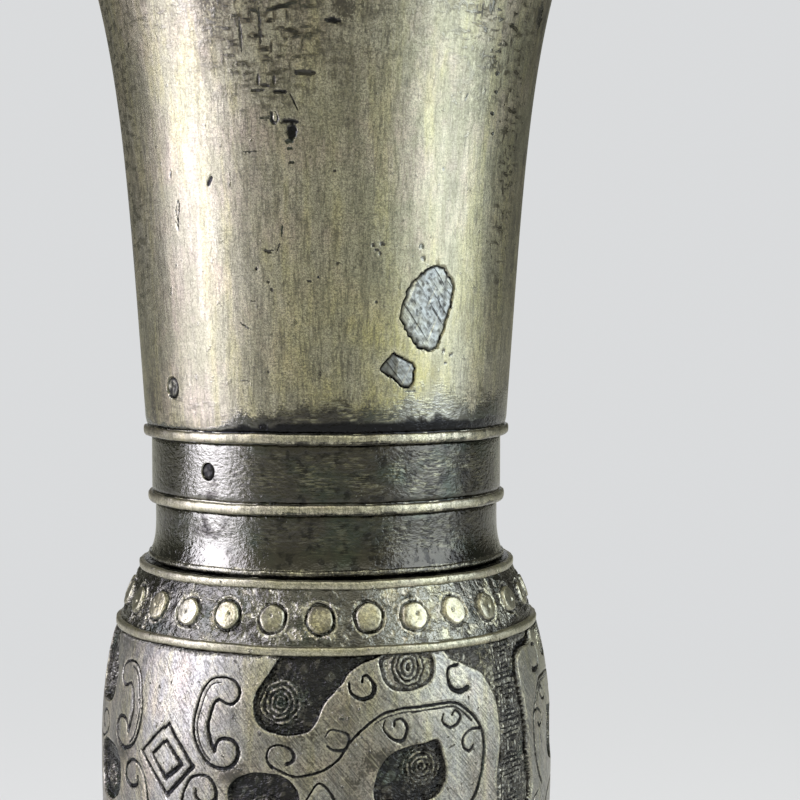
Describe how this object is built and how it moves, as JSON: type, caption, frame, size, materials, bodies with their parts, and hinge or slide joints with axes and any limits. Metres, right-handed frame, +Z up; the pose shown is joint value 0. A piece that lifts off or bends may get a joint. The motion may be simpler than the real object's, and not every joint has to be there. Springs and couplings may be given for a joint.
{
  "type": "gu vessel",
  "caption": "Tall bronze beaker vase with a trumpet neck, a swollen knop with sunk masks between bands of circlets, and a spreading foot.",
  "frame": {"origin": "centre of the foot's ground ring, on the surface that the vessel stands on", "axes": "+Z up along the vessel's axis, towards the mouth; -Y towards the side that the picture shows"},
  "size_m": [0.117, 0.117, 0.2485],
  "materials": {
    "neck_bronze": "worn polished bronze, olive and straw coloured, with upright streaks",
    "knop_bronze": "rubbed bronze over a dark, nearly black sunk ground",
    "foot_bronze": "worn polished bronze, as the neck",
    "raw_bronze": "dull cast bronze, not polished",
    "solder": "dull grey solder",
    "patch_metal": "grey spacer metal, scratched and pitted",
    "plug_metal": "grey bronze plug, filed flush"
  },
  "bodies": {
    "root": {"neck": "neck_bronze", "knop": "knop_bronze", "foot": "foot_bronze", "floor_disc": "raw_bronze", "neck_solder_seam": "solder", "foot_solder_seam": "solder", "neck_patch_large": "patch_metal", "neck_patch_small": "patch_metal", "neck_core_plugs": "plug_metal", "collar_core_plugs": "plug_metal"}
  },
  "joints": []
}
